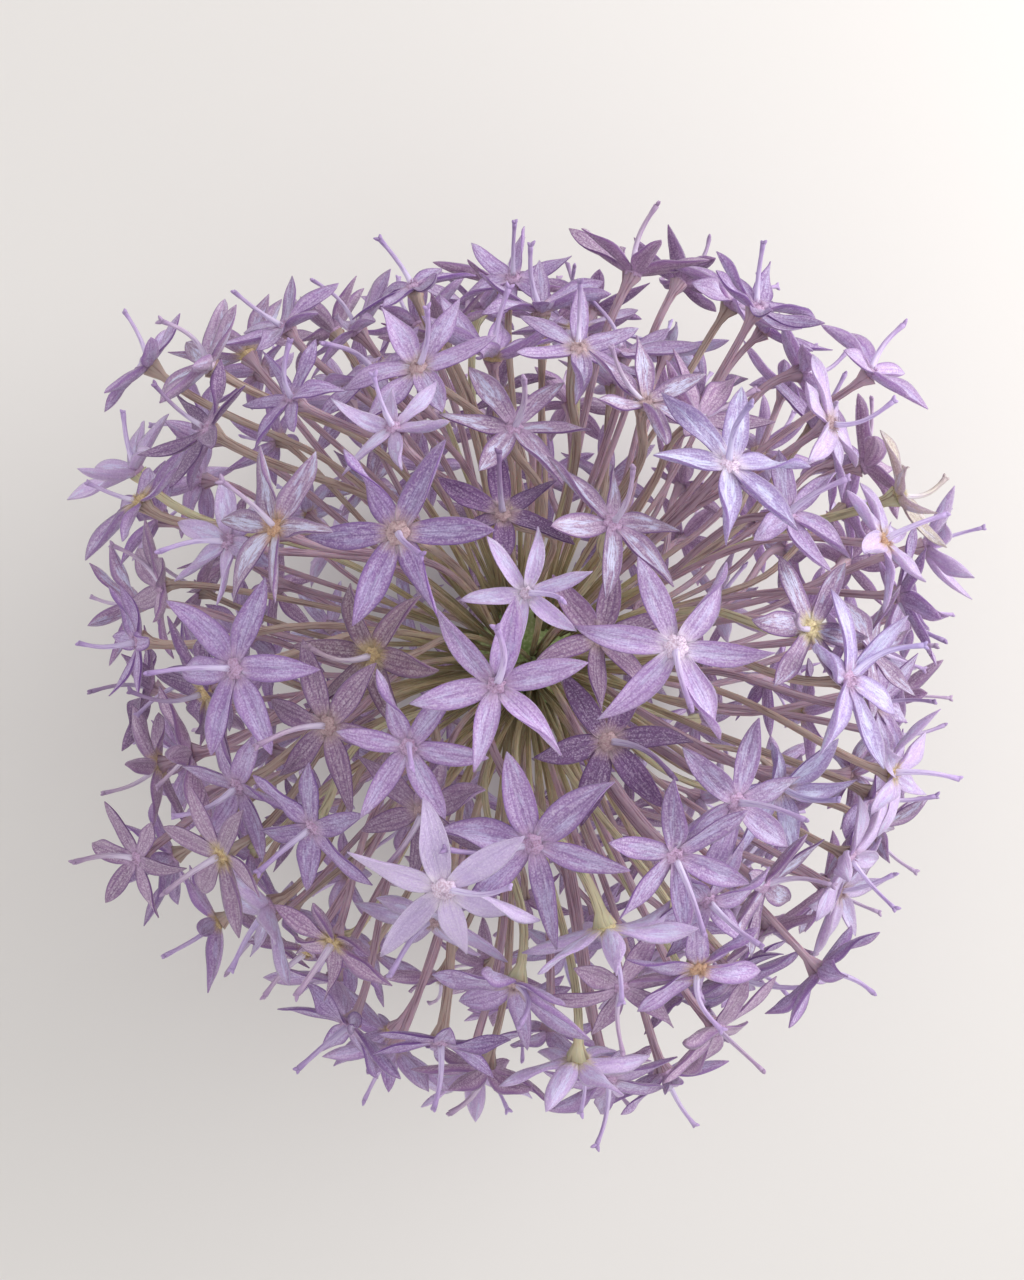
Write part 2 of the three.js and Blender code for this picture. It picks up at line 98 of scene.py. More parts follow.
# Florets of the crown: azimuth, angle from the top, rise over the average radius, spin, outward lean,
# the style's direction and lean, size, and the tones of the tepals and of the centre
CROWN = [
    (-111, 25.5, 4, 46, 0, 30, 60, 1.17, "bright", "white"),
    (-151, 4, 3, 20, 0, 85, 40, 0.98, "lilac", "rose"),
    (93, 8, 2, 16, 0, -15, 40, 0.72, "pale", "white"),
    (7, 15, 4, 46, 0, -95, 45, 1.12, "lilac", "white"),
    (135, 20, 3, 56, 0, -35, 45, 1.14, "violet", "tan"),
    (152, 33, 2, 46, 0, 100, 15, 1.02, "silver", "amber"),
    (-179, 35, 2, 12, 0, -180, 40, 1.12, "violet", "rose"),
    (-163, 26, -1, 48, 0, -165, 25, 1, "mauve", "tan"),
    (-146, 16, 2, 46, 0, 0, 20, 0.9, "lilac", "rose"),
    (-143, 32.5, 2, 18, 0, -140, 35, 0.93, "violet", "rose"),
    (-126, 22, -3, 20, 0, -125, 40, 0.95, "mauve", "tan"),
    (-89, 20.5, 2, 50, 0, 173, 60, 1.15, "lilac", "rose"),
    (-53, 27, 2, 34, 0, -75, 60, 1, "lilac", "rose"),
    (-34, 30, 1, 20, 0, -5, 35, 1, "lilac", "rose"),
    (-3, 40, 3, 40, 0, 30, 50, 1.1, "blue", "rose"),
    (7, 35.5, 1, 0, 0, 178, 60, 0.95, "silver", "cream"),
    (45, 32, 4, 8, 0, 140, 20, 1.1, "blue", "white"),
    (66, 35, 2, 32, 0, 150, 55, 0.88, "silver", "tan"),
    (120, 33, 2, 38, 0, 90, 15, 0.78, "pale", "rose"),
    (144, 52, 1, 22, 0, 120, 20, 0.92, "dark", "rose"),
    (132, 46.5, 0, 50, 0, 50, 45, 0.8, "violet", "rose"),
    (158, 41, 2, 40, 0, 200, 55, 0.88, "pale", "rose"),
    (92, 73, 2, 12, -40, 75, 20, 0.9, "violet", "rose"),
    (81, 42, 1, 30, 0, 95, 45, 0.9, "lilac", "tan"),
    (57, 57, 3, 10, 0, 100, 40, 0.92, "violet", "rose"),
    (30, 37.5, 1, 30, 0, 25, 35, 0.92, "lilac", "rose"),
    (20, 9.5, -6, 8, 0, 0, 40, 0.92, "mauve", "tan"),
    (100, 21, -9, 30, 0, 100, 25, 0.9, "dark", "tan"),
    (177, 21.5, -6, 58, 0, -180, 30, 0.98, "dun", "gold"),
    (-157, 44, -1, 0, 0, -155, 35, 0.95, "lilac", "rose"),
    (-148, 46, 2, 45, 0, -145, 40, 0.95, "mauve", "gold"),
    (-153, 71, 6, 46, -40, 170, 45, 0.9, "mauve", "rose"),
    (-125, 45, 1, 20, 0, -125, 30, 0.88, "mauve", "gold"),
    (-74, 31, 3, 30, 60, -62, 10, 1.05, "pale", "cream"),
    (-83, 53, 2, 0, 50, -80, 15, 0.95, "pale", "cream"),
    (-53, 37.5, 1, 10, 0, -30, 40, 0.9, "lilac", "rose"),
    (-74, 44.5, -1, 15, 0, -95, 50, 0.92, "mauve", "rose"),
    (-61, 44, 2, 40, 0, -70, 50, 0.95, "lilac", "amber"),
    (-103, 53, 2, 20, 0, -95, 25, 0.92, "violet", "rose"),
    (19, 48, 2, 20, 0, 20, 25, 0.9, "pale", "amber"),
    (24, 59.5, 0, 45, 0, 20, 40, 0.85, "cream", "cream"),
    (-17, 55, 1, 30, 0, 0, 30, 0.88, "pale", "gold"),
    (-45, 17, -14, 6, 0, -30, 40, 1.1, "dark", "tan"),
    (142, 70, 3, 30, 0, 85, 30, 0.88, "lilac", "rose"),
    (107, 62, 1, 20, 0, 135, 35, 0.88, "violet", "rose"),
    (126, 64, 2, 35, 0, 165, 35, 0.88, "lilac", "rose"),
    (40, 64, 2, 15, 0, 60, 35, 0.88, "lilac", "rose"),
    (177, 58, 3, 0, 0, 185, 25, 0.85, "violet", "rose"),
]

# ---------- Small helpers ----------

CENTRE = np.array([0.0, 0.0, GLOBE_HEIGHT])
NADIR = np.array([0.0, 0.0, -1.0])
GOLDEN_ANGLE = math.pi * (3 - math.sqrt(5))
TEPAL_ANGLES = np.radians(np.arange(TEPAL_COUNT) * TEPAL_TURN)


def make_random(seed):
    """The frame's own random draw, so that both place the same florets."""
    factor, limit = 16807, 2**31 - 1
    state = seed

    def draw(low, high):
        nonlocal state
        state = (state * factor) % limit
        return low + ((high - low) * state) / limit

    return draw


def direction(azimuth, from_top):
    azimuth, from_top = math.radians(azimuth), math.radians(from_top)
    across = math.sin(from_top)
    return np.array([across * math.cos(azimuth), across * math.sin(azimuth), math.cos(from_top)])


def spiral_directions(count):
    """Unit vectors spread evenly over a sphere, from its top down."""
    directions = []
    for i in range(count):
        height = 1 - (2 * (i + 0.5)) / count
        across, turn = math.sqrt(1 - height * height), i * GOLDEN_ANGLE
        directions.append(np.array([across * math.cos(turn), across * math.sin(turn), height]))
    return directions


def unit(vectors):
    return vectors / np.linalg.norm(vectors, axis=-1, keepdims=True)


def dot(a, b):
    return (a * b).sum(-1)


def column(values):
    """Numbers as a column, to scale one vector each."""
    return np.asarray(values)[..., None]


def turned(first, second, angle):
    """A vector at each angle from the first, towards the second."""
    return first * column(np.cos(angle)) + second * column(np.sin(angle))


def carried_frame(axis):
    """The plane's X and Y axes carried from straight up to each axis by the shortest turn."""
    x, y, z = axis[..., 0], axis[..., 1], axis[..., 2]
    share = 1 / (1 + z)
    right = np.stack([1 - x * x * share, -x * y * share, -x], -1)
    up = np.stack([-x * y * share, 1 - y * y * share, -y], -1)
    return right, up


# ---------- Where the florets are ----------


def spread_directions():
    """One unit vector a floret: the crown's first, and the others spread evenly over what is left."""
    fixed = np.array([direction(row[0], row[1]) for row in CROWN])
    free = spiral_directions(FLORET_COUNT)
    for crown_floret in fixed:
        free.pop(int(np.argmax(np.array(free) @ crown_floret)))
    free = np.array(free)
    for _ in range(SPREAD_ROUNDS):
        others = np.vstack([fixed, free, NADIR])
        apart = free[:, None] - others[None]
        distance = np.linalg.norm(apart, axis=-1)
        near = (distance > 0) & (distance < SPREAD_REACH)
        push = SPREAD_STEP * (SPREAD_REACH - distance) / np.maximum(distance, LEAST_DISTANCE)
        free = unit(free + (apart * column(np.where(near, push, 0))).sum(1))
    return np.vstack([fixed, free])


def growth(towards):
    """The globe's radius relative to a true sphere."""
    factor = 1 + GIRTH * (1 - towards[2] ** 2)
    for azimuth, from_top, rise in SHOULDERS:
        nearness = towards @ direction(azimuth, from_top) - 1
        factor += rise * math.exp(nearness / SHOULDER_SPREAD)
    return factor


def bend_point(towards, radius):
    point = CENTRE + towards * column(radius * PEDICEL_BEND_AT)
    sway = np.sin(point[..., [1, 2, 0]] / SWAY_SCALE)
    return point + sway * PEDICEL_SWAY


def tepal_frames(poses):
    """Unit vectors across and along each pose's six tepals, shaped (poses, tepals, 3)."""
    axis = poses["axis"][:, None]
    out = turned(poses["u"][:, None], poses["v"][:, None], TEPAL_ANGLES)
    rising = turned(out, axis, np.radians(poses["cup"])[:, None])
    return np.cross(axis, out), rising


def pose_floret(towards, traits, changes):
    """The poses that one floret would have with each of the changes: rise, spin and two tilts."""
    rise, turn, tilt_x, tilt_y = changes.T
    right, up = carried_frame(towards)
    azimuth = math.atan2(towards[1], towards[0])
    outward = right * math.cos(azimuth) + up * math.sin(azimuth)
    lean = math.radians(traits["lean"])
    leaning = towards * math.cos(lean) + outward * math.sin(lean)
    axis = unit(leaning + right * column(tilt_x) + up * column(tilt_y))
    frame_x, frame_y = carried_frame(axis)
    u = turned(frame_x, frame_y, np.radians(traits["spin"] + turn))
    style_turn, style_lean = math.radians(traits["style_turn"]), math.radians(traits["style_lean"])
    sideways = frame_x * math.cos(style_turn) + frame_y * math.sin(style_turn)
    radius = HUB_RADIUS * growth(towards) + traits["rise"] + rise
    poses = {
        "towards": np.broadcast_to(towards, axis.shape),
        "axis": axis,
        "u": u,
        "v": np.cross(axis, u),
        "style": axis * math.cos(style_lean) + sideways * math.sin(style_lean),
        "middle": CENTRE + towards * column(radius),
        "bend": bend_point(towards, radius),
        "size": np.full(len(axis), traits["size"]),
        "cup": np.full(len(axis), traits["cup"]),
    }
    size = column(poses["size"])
    _, rising = tepal_frames(poses)
    reach = rising * TEPAL_LENGTH + axis[:, None] * TEPAL_CURL
    tepal_tips = poses["middle"][:, None] + reach * size[:, None]
    style_tips = poses["middle"] + poses["style"] * STYLE_LENGTH * size
    lowest = np.minimum(tepal_tips[..., 2].min(1), style_tips[:, 2])
    poses["middle"][:, 2] -= np.minimum(0, lowest)  # pressed up by the surface that the head rests on
    return poses


def with_width(spots, half_width):
    return np.concatenate([spots, np.full((*spots.shape[:-1], 1), half_width)], -1)


def beads_of(poses):
    """Beads of the tepals, and of the style and pedicel, shaped (poses, beads, x y z half width)."""
    middle, axis, size = poses["middle"], poses["axis"], column(poses["size"])
    _, rising = tepal_frames(poses)
    blades, rods = [], []
    for distance, half_width in TEPAL_BEADS:
        lift = TEPAL_CURL * (distance / TEPAL_LENGTH) ** 2
        spots = middle[:, None] + rising * distance * size[:, None] + axis[:, None] * lift
        blades.append(with_width(spots, half_width))
    for i in range(1, STYLE_BEADS + 1):
        rods.append(with_width((middle + poses["style"] * i * ROD_STEP * size)[:, None], ROD_BEAD))
    inward = unit(poses["bend"] - middle)
    for i in range(1, PEDICEL_BEADS + 1):
        rods.append(with_width((middle + inward * i * ROD_STEP)[:, None], ROD_BEAD))
    return np.concatenate(blades, 1), np.concatenate(rods, 1)


def least_room(beads, others, normal, gap):
    """Per pose, the least room between its beads and another floret's: over or under, or beside."""
    apart = beads[:, :, None, :3] - others[None, None, :, :3]
    over = dot(apart, normal[:, None, None])
    beside = np.sqrt(np.maximum(0, dot(apart, apart) - over * over))
    widths = beads[:, :, None, 3] + others[None, None, :, 3]
    return np.maximum(np.abs(over) - gap, beside - widths).min((1, 2))


def room_between(poses, other):
    """Per pose, the least room between the floret and another."""
    axis = poses["axis"]
    other_axis = np.broadcast_to(other["axis"], axis.shape)
    shared = unit(axis + other_axis)
    return np.minimum.reduce([
        least_room(poses["blades"], other["blades"], shared, FLAT_GAP),
        least_room(poses["blades"], other["rods"], axis, ROD_GAP),
        least_room(poses["rods"], other["blades"], other_axis, ROD_GAP),
        least_room(poses["rods"], other["rods"], np.zeros_like(axis), 0),
    ])


def place_florets():
    """Each floret takes the first drawn pose clear of those placed before it, or else the roomiest."""
    random = make_random(SEED)
    placed = []
    for index, towards in enumerate(spread_directions()):
        by_hand = CROWN[index] if index < len(CROWN) else None
        traits = {
            "size": by_hand[7] if by_hand else random(1 - SIZE_SPREAD, 1 + SIZE_SPREAD),
            "cup": random(CUP_LOW, CROWN_CUP_HIGH if by_hand else CUP_HIGH),
            "rise": by_hand[2] if by_hand else 0,
            "spin": by_hand[3] if by_hand else random(0, TEPAL_TURN),
            "lean": by_hand[4] if by_hand else 0,
            "style_turn": by_hand[5] if by_hand else random(0, 360),
            "style_lean": by_hand[6] if by_hand else random(0, STYLE_LEAN),
        }
        tilt = CROWN_TILT if by_hand else TILT
        spin = CROWN_SPIN if by_hand else TEPAL_TURN / 2
        rises = (-CROWN_RISE, CROWN_RISE) if by_hand else (RISE_LOW, RISE_HIGH)
        ranges = [rises, (-spin, spin), (-tilt, tilt), (-tilt, tilt)]
        changes = np.array([[random(*each) for each in ranges] for _ in range(CHOICES)])
        poses = pose_floret(towards, traits, changes)
        poses["blades"], poses["rods"] = beads_of(poses)
        room = np.full(CHOICES, CLEAR)
        for other in placed:
            near = np.linalg.norm(other["middle"] - poses["middle"], axis=-1) < NEIGHBOUR_REACH
            if near.any():
                room = np.where(near, np.minimum(room, room_between(poses, other)), room)
        best = int(np.argmax(room))
        placed.append({name: values[best] for name, values in poses.items()})
    return {name: np.array([floret[name] for floret in placed]) for name in placed[0]}


def root_direction(towards):
    """Where on the receptacle a floret's pedicel starts."""
    from_top = ROOT_LIFT * np.arccos(towards[..., 2])
    across = np.sin(from_top) / np.hypot(towards[..., 0], towards[..., 1])
    return np.stack([towards[..., 0] * across, towards[..., 1] * across, np.cos(from_top)], -1)


def add_roots(florets):
    """The cyme that each floret belongs to, and the point where its pedicel starts."""
    axes = root_direction(np.array(spiral_directions(CYME_COUNT)))
    start = root_direction(florets["towards"])
    florets["cyme"] = np.argmax(start @ axes.T, 1)
    own = axes[florets["cyme"]]
    florets["root"] = CENTRE + unit(own + (start - own) * ROOT_GATHER) * ROOT_RADIUS


# ---------- Tones: sRGB colours of what grows here ----------

TONES = {
    "bright": (214, 196, 238),
    "pale": (198, 176, 222),
    "lilac": (188, 163, 208),
    "violet": (174, 148, 198),
    "dark": (136, 104, 148),
    "mauve": (184, 158, 184),
    "blue": (188, 174, 222),
    "silver": (180, 158, 184),
    "dun": (172, 150, 160),
    "cream": (206, 198, 174),
}
# How marked the veins are, where not fully
ROUGH = {"bright": 0.25, "pale": 0.25, "blue": 0.6, "lilac": 0.8, "cream": 0.6}
# The painted sheen's share: bluish-white patches painted as a pearly highlight, where there is one
PAINTED_SHEEN_SHARES = {"silver": 0.75, "blue": 0.7, "pale": 0.55, "cream": 0.4, "lilac": 0.35, "violet": 0.25}
HEARTS = {
    "white": (228, 212, 234),
    "rose": (200, 170, 206),
    "tan": (194, 168, 172),
    "amber": (202, 166, 134),
    "gold": (208, 186, 140),
    "cream": (218, 206, 160),
}
STALK_TONES = {"mauve": (188, 160, 178), "brown": (186, 166, 156), "cream": (208, 202, 168)}
# Painted light: lower florets are blended towards a paler tone, to lift the shade on the globe's lower
# side
LOW_PAINTED_LIGHT_TONE = (214, 198, 220)
LOW_PAINTED_LIGHT_SHARE = 0.26
SHADE_LOW, SHADE_HIGH = 0.84, 1.06
TEPAL_SHADE_LOW, TEPAL_SHADE_HIGH = 0.86, 1.14
ROUGH_LOW = 0.7
# How often each tone comes where a floret isn't listed in the crown
TONE_SHARES = {"lilac": 34, "violet": 22, "mauve": 18, "pale": 10, "silver": 7, "blue": 6, "dark": 3}
HEART_SHARES = {"rose": 56, "tan": 28, "gold": 12, "white": 4}
STALK_SHARES = {"mauve": 60, "brown": 32, "cream": 8}


def linear(colours):
    """sRGB from 0 to 255 as linear light."""
    share = np.asarray(colours, float) / 255
    return np.where(share <= 0.04045, share / 12.92, ((share + 0.055) / 1.055) ** 2.4)


def drawn(rng, shares, count):
    weights = np.array(list(shares.values()), float)
    return list(rng.choice(list(shares), size=count, p=weights / weights.sum()))


def add_tones(florets, rng):
    """Each floret's colours, in linear light, with painted light making the lower florets paler."""
    count = len(florets["size"])
    rest = count - len(CROWN)
    tones = [row[8] for row in CROWN] + drawn(rng, TONE_SHARES, rest)
    hearts = [row[9] for row in CROWN] + drawn(rng, HEART_SHARES, rest)
    stalks = drawn(rng, STALK_SHARES, count)
    stalks = ["cream" if heart == "cream" else stalk for heart, stalk in zip(hearts, stalks)]
    shade = column(rng.uniform(SHADE_LOW, SHADE_HIGH, count))
    # painted light: the lower a floret sits, the more of the paler tone it takes
    low = column(LOW_PAINTED_LIGHT_SHARE * (1 - florets["towards"][:, 2]))
    own = linear([TONES[tone] for tone in tones]) * shade
    florets["tone"] = own * (1 - low) + linear(LOW_PAINTED_LIGHT_TONE) * low
    florets["heart"] = linear([HEARTS[heart] for heart in hearts])
    florets["stalk"] = linear([STALK_TONES[stalk] for stalk in stalks]) * shade
    florets["pearl"] = np.array([PAINTED_SHEEN_SHARES.get(tone, 0.0) for tone in tones])
    rough = np.array([ROUGH.get(tone, 1.0) for tone in tones])
    florets["rough"] = rough * rng.uniform(ROUGH_LOW, 1, count)


# ---------- Fine shapes: millimetres ----------

# Tepals
TEPAL_ROWS, TEPAL_COLUMNS = 13, 16
TEPAL_START = 0.06  # share of the length where the blade leaves the floret's middle
TEPAL_SHARES = TEPAL_START + (1 - TEPAL_START) * np.linspace(0, 1, TEPAL_ROWS)
FINE_LENGTH_LOW, FINE_LENGTH_HIGH = 0.95, 1.06  # relative to the frame's tepals, as is the width
FINE_WIDTH_LOW, FINE_WIDTH_HIGH = 0.78, 1.0
OUTLINE_FOOT, OUTLINE_TIP, OUTLINE_LEAST = 0.68, 0.82, 0.04
TEPAL_HALF_THICKNESS = 0.28
TIP_THICKNESS, TIP_TAPER = 0.35, 4  # share of the thickness left at the tip, and how late it thins
CURL_SPREAD, STRAY_SPREAD, TWIST_SPREAD = 2.4, 0.9, 0.9
COUNTER_CURL = 0.4  # how far the blade's first half bends the other way
FOLD_LOW, FOLD_HIGH = 0.15, 0.9  # how far the edges rise, relative to the half width
RIB_HEIGHT, RIB_TURNS = 0.13, 2.6
EDGE_WAVE, LEAST_WAVE = 0.55, 0.3
WAVE_TURNS_LOW, WAVE_TURNS_HIGH, WAVE_START_HIGH = 5, 9, 6  # radians along the blade

# Centres
DOME_ROWS, DOME_COLUMNS = 7, 20
DOME_RADIUS, DOME_HEIGHT, DOME_FOOT = 1.45, 0.9, 0.35
DOME_FOOT_WIDTH, DOME_TOP = 0.9, 0.96
DOME_UNEVEN, DOME_RIDGE = 0.03, 0.07  # share of the radius
HAIR_COUNT, HAIR_SIDES = 100, 3
HAIR_LENGTH, HAIR_RADIUS, HAIR_TIP = 0.75, 0.035, 0.4
HAIR_SINK, HAIR_LIFT, HAIR_STRAY = 0.97, 0.35, 0.3
LOWEST_HAIR = 0.05  # share of the way up the dome

# Styles
STYLE_ROWS, STYLE_COLUMNS = 14, 8
FINE_STYLE_LOW, FINE_STYLE_HIGH = 0.86, 0.97  # length relative to the frame's styles
STYLE_FOOT_RADIUS, STYLE_RADIUS = 0.62, 0.42
STYLE_FLARE, STYLE_TAPER, STYLE_GROOVE = 6, 0.25, 0.08
KNOB_SWELL, KNOB_AT, KNOB_SPREAD = 0.16, 0.97, 0.05
STYLE_BOW, LEAST_BOW = 1.5, 0.2
LOBE_LENGTH, LOBE_RADIUS, LOBE_SPLAY, LOBE_SIDES = 1.1, 0.34, 0.8, 6
LOBE_SHARES = np.array([-0.15, 0.25, 0.65, 1.0])
LOBE_WIDTHS = np.array([0.7, 1, 0.8, 0.3])

# Pedicels
PEDICEL_ROWS, PEDICEL_COLUMNS = 24, 10
PEDICEL_SINK = 0.25  # how far below the floret's middle a pedicel ends
PEDICEL_PULL, CROWDING = 0.9, 0.85  # how straight it leaves its ends, and how its points crowd upward
PEDICEL_FINE_RADIUS, PEDICEL_FOOT_RADIUS = 0.68, 0.4
PEDICEL_CHORD = 0.5  # how strongly it runs on through its bend
PEDICEL_WANDER, MOST_WANDER, SECOND_WAVE = 1.4, 2.1, 0.5
FUNNEL_RADIUS, FUNNEL_LENGTH, FUNNEL_FLARE = 1.6, 3.2, 2.2
GROOVE = 0.1  # share of the radius
SEED_REACH = 40  # how far apart in the noise two pedicels may be

# The receptacle and the scape
SWELLING, SWELLING_SINK, SWELLING_SPREAD = 0.8, 1.0, 0.004
RECEPTACLE_SUBDIVISIONS = 5
SCAPE_SIDES, SCAPE_RIDGES, SCAPE_ROWS = 48, 16, 24
SCAPE_OVERLAP = 2  # how far the scape reaches into the receptacle
CUT_RINGS = [0.6 / SCAPE_RADIUS, 0.55, 0.95]  # share of the radius
EDGE_BEVEL, SKIN_START = 0.25, 0.8
RIDGE_DEPTH, SCAPE_WAVER, WAVER_TURNS = 0.02, 0.008, 0.3

# How styles, pedicels, hairs and lobes differ among themselves
THINNEST, THICKEST, SHORTEST = 0.85, 1.1, 0.5

# Thin tubes that follow a line turn their first side this way, which none of them runs along
STYLE_SIDE = np.array([0.36, 0.48, 0.8])
HAIR_SIDE = np.array([0.31, 0.52, 0.79])


def frames_along(lines, hint):
    """Unit vectors aside and above at each point of lines shaped (..., points, 3)."""
    ahead = unit(np.gradient(lines, axis=-2))
    aside = unit(hint - ahead * column(dot(hint, ahead)))
    return aside, np.cross(ahead, aside)


def angles_round(sides):
    return np.arange(sides) * 2 * math.pi / sides


def round_loops(lines, radii, sides, hint):
    """Loops of round section about lines. radii has a number for each point and corner."""
    aside, above = (side[..., None, :] for side in frames_along(lines, hint))
    return lines[..., None, :] + turned(aside, above, angles_round(sides)) * column(radii)


def tepal_outline(share):
    """A tepal's half width at a share of its length, relative to its widest place."""
    width = share**OUTLINE_FOOT * (1 - share) ** OUTLINE_TIP
    return np.maximum(width / width.max(), OUTLINE_LEAST)


def tepal_loops(florets, rng):
    """(florets, tepals, rows, columns, 3): a ribbed, boat-shaped blade with a thin edge."""
    shape = (len(florets["size"]), TEPAL_COUNT, 1)
    size = florets["size"][:, None, None]
    across, rising = tepal_frames(florets)
    above = np.cross(rising, across)[:, :, None]
    across, rising = across[:, :, None], rising[:, :, None]
    share = TEPAL_SHARES
    reach = TEPAL_LENGTH * size * rng.uniform(FINE_LENGTH_LOW, FINE_LENGTH_HIGH, shape) * share
    bend = share**2 - COUNTER_CURL * share
    curl = TEPAL_CURL * size * share**2 + rng.normal(0, CURL_SPREAD, shape) * bend
    stray = rng.normal(0, STRAY_SPREAD, shape) * share**2
    line = florets["middle"][:, None, None] + rising * column(reach)
    line = line + florets["axis"][:, None, None] * column(curl) + across * column(stray)
    twist = rng.normal(0, TWIST_SPREAD, shape) * share**1.5
    side, face = turned(across, above, twist), turned(above, across, -twist)
    widest = TEPAL_HALF_WIDTH * size * rng.uniform(FINE_WIDTH_LOW, FINE_WIDTH_HIGH, shape)
    half = widest * tepal_outline(share)
    fullness = np.minimum(1, TIP_TAPER * (1 - share))
    thick = TEPAL_HALF_THICKNESS * (TIP_THICKNESS + (1 - TIP_THICKNESS) * fullness)
    angle = angles_round(TEPAL_COLUMNS)
    x, y = np.cos(angle), np.sin(angle)
    fold = rng.uniform(FOLD_LOW, FOLD_HIGH, shape)
    wave = rng.uniform(LEAST_WAVE, 1, shape) * EDGE_WAVE
    turns = rng.uniform(WAVE_TURNS_LOW, WAVE_TURNS_HIGH, shape) * share
    wave = wave * np.sin(turns + rng.uniform(0, WAVE_START_HIGH, shape))
    relative = half / TEPAL_HALF_WIDTH
    ribs = -RIB_HEIGHT * np.cos(RIB_TURNS * math.pi * x)
    lift = column(fold * half) * x**2 + column(relative) * ribs + column(wave * relative) * x
    lift = lift + thick[:, None] * y
    sideways = side[..., None, :] * column(column(half) * x)
    return line[..., None, :] + sideways + face[..., None, :] * column(lift)


def dome_loops(florets, rng):
    """(florets, 1, rows, columns, 3): the uneven dome that the tepals stand round."""
    count = len(florets["size"])
    slope = np.linspace(0, DOME_TOP, DOME_ROWS) * math.pi / 2
    across = DOME_RADIUS * np.cos(slope)
    height = DOME_HEIGHT * np.sin(slope)
    across[0], height[0] = DOME_RADIUS * DOME_FOOT_WIDTH, -DOME_FOOT
    size = florets["size"][:, None, None]
    lines = florets["middle"][:, None] + florets["axis"][:, None] * column(height * size[:, 0])
    uneven = 1 + rng.normal(0, DOME_UNEVEN, (count, DOME_ROWS, DOME_COLUMNS))
    ridges = 1 + DOME_RIDGE * np.cos(TEPAL_COUNT * angles_round(DOME_COLUMNS))
    radii = across[:, None] * ridges * uneven * size
    return round_loops(lines, radii, DOME_COLUMNS, florets["u"][:, None])[:, None]


def hair_loops(florets, rng):
    """(florets, hairs, 2, 3, 3): short hairs all over the dome."""
    shape = (len(florets["size"]), HAIR_COUNT)
    turn = rng.uniform(0, 2 * math.pi, shape)
    slope = rng.uniform(LOWEST_HAIR, 1, shape) * math.pi / 2
    u, v, axis = (florets[name][:, None] for name in ("u", "v", "axis"))
    out = turned(u, v, turn)
    foot = out * column(DOME_RADIUS * np.cos(slope)) + axis * column(DOME_HEIGHT * np.sin(slope))
    foot = florets["middle"][:, None] + foot * florets["size"][:, None, None] * HAIR_SINK
    ahead = out * column(np.cos(slope)) + axis * column(HAIR_LIFT + np.sin(slope))
    ahead = unit(ahead + rng.normal(0, HAIR_STRAY, (*shape, 3)))
    length = column(HAIR_LENGTH * rng.uniform(SHORTEST, 1, shape))
    lines = np.stack([foot, foot + ahead * length], -2)
    radii = np.array([HAIR_RADIUS, HAIR_RADIUS * HAIR_TIP])[:, None] * np.ones(HAIR_SIDES)
    return round_loops(lines, radii, HAIR_SIDES, HAIR_SIDE)


def style_lines(florets, rng):
    """(florets, points, 3): the middle line of each style."""
    count = len(florets["size"])
    share = np.linspace(0, 1, STYLE_ROWS)
    length = STYLE_LENGTH * florets["size"] * rng.uniform(FINE_STYLE_LOW, FINE_STYLE_HIGH, count)
    bow = unit(np.cross(florets["style"], rng.normal(0, 1, (count, 3))))
    amount = rng.uniform(LEAST_BOW, 1, count) * STYLE_BOW
    lines = florets["middle"][:, None] + florets["style"][:, None] * column(column(length) * share)
    return lines + bow[:, None] * column(column(amount) * np.sin(math.pi * share))


def style_loops(lines, rng):
    """(florets, 1, rows, columns, 3): a stalk that narrows and then swells into its knob."""
    share = np.linspace(0, 1, STYLE_ROWS)
    radius = STYLE_RADIUS + (STYLE_FOOT_RADIUS - STYLE_RADIUS) * np.exp(-STYLE_FLARE * share)
    knob = KNOB_SWELL * np.exp(-(((share - KNOB_AT) / KNOB_SPREAD) ** 2))
    radius = radius * (1 - STYLE_TAPER * share) + knob
    grooves = 1 + STYLE_GROOVE * np.cos(STYLE_COLUMNS / 2 * angles_round(STYLE_COLUMNS))
    radii = radius[:, None] * grooves * rng.uniform(THINNEST, THICKEST, (len(lines), 1, 1))
    return round_loops(lines, radii, STYLE_COLUMNS, STYLE_SIDE)[:, None]


def lobe_loops(lines, rng):
    """(florets, 2, rows, columns, 3): the two short lobes on a style's tip."""
    tip, ahead = lines[:, -1], unit(lines[:, -1] - lines[:, -2])
    aside = unit(np.cross(ahead, rng.normal(0, 1, ahead.shape)))
    leaning = np.stack([ahead + aside * LOBE_SPLAY, ahead - aside * LOBE_SPLAY], 1)
    length = LOBE_LENGTH * rng.uniform(SHORTEST, 1, (len(lines), 2, 1))
    paths = tip[:, None, None] + unit(leaning)[:, :, None] * column(length * LOBE_SHARES)
    radii = LOBE_RADIUS * LOBE_WIDTHS[:, None] * np.ones(LOBE_SIDES)
    return round_loops(paths, radii, LOBE_SIDES, STYLE_SIDE)


def curve(start, end, leaving, arriving, points):
    """Points of the cubic from start to end with those directions, closer together near the end."""
    t = np.linspace(0, 1, points)[:, None] ** CROWDING
    start, end, leaving, arriving = (each[:, None] for each in (start, end, leaving, arriving))
    held = start * (2 * t**3 - 3 * t**2 + 1) + end * (3 * t**2 - 2 * t**3)
    return held + leaving * (t**3 - 2 * t**2 + t) + arriving * (t**3 - t**2)


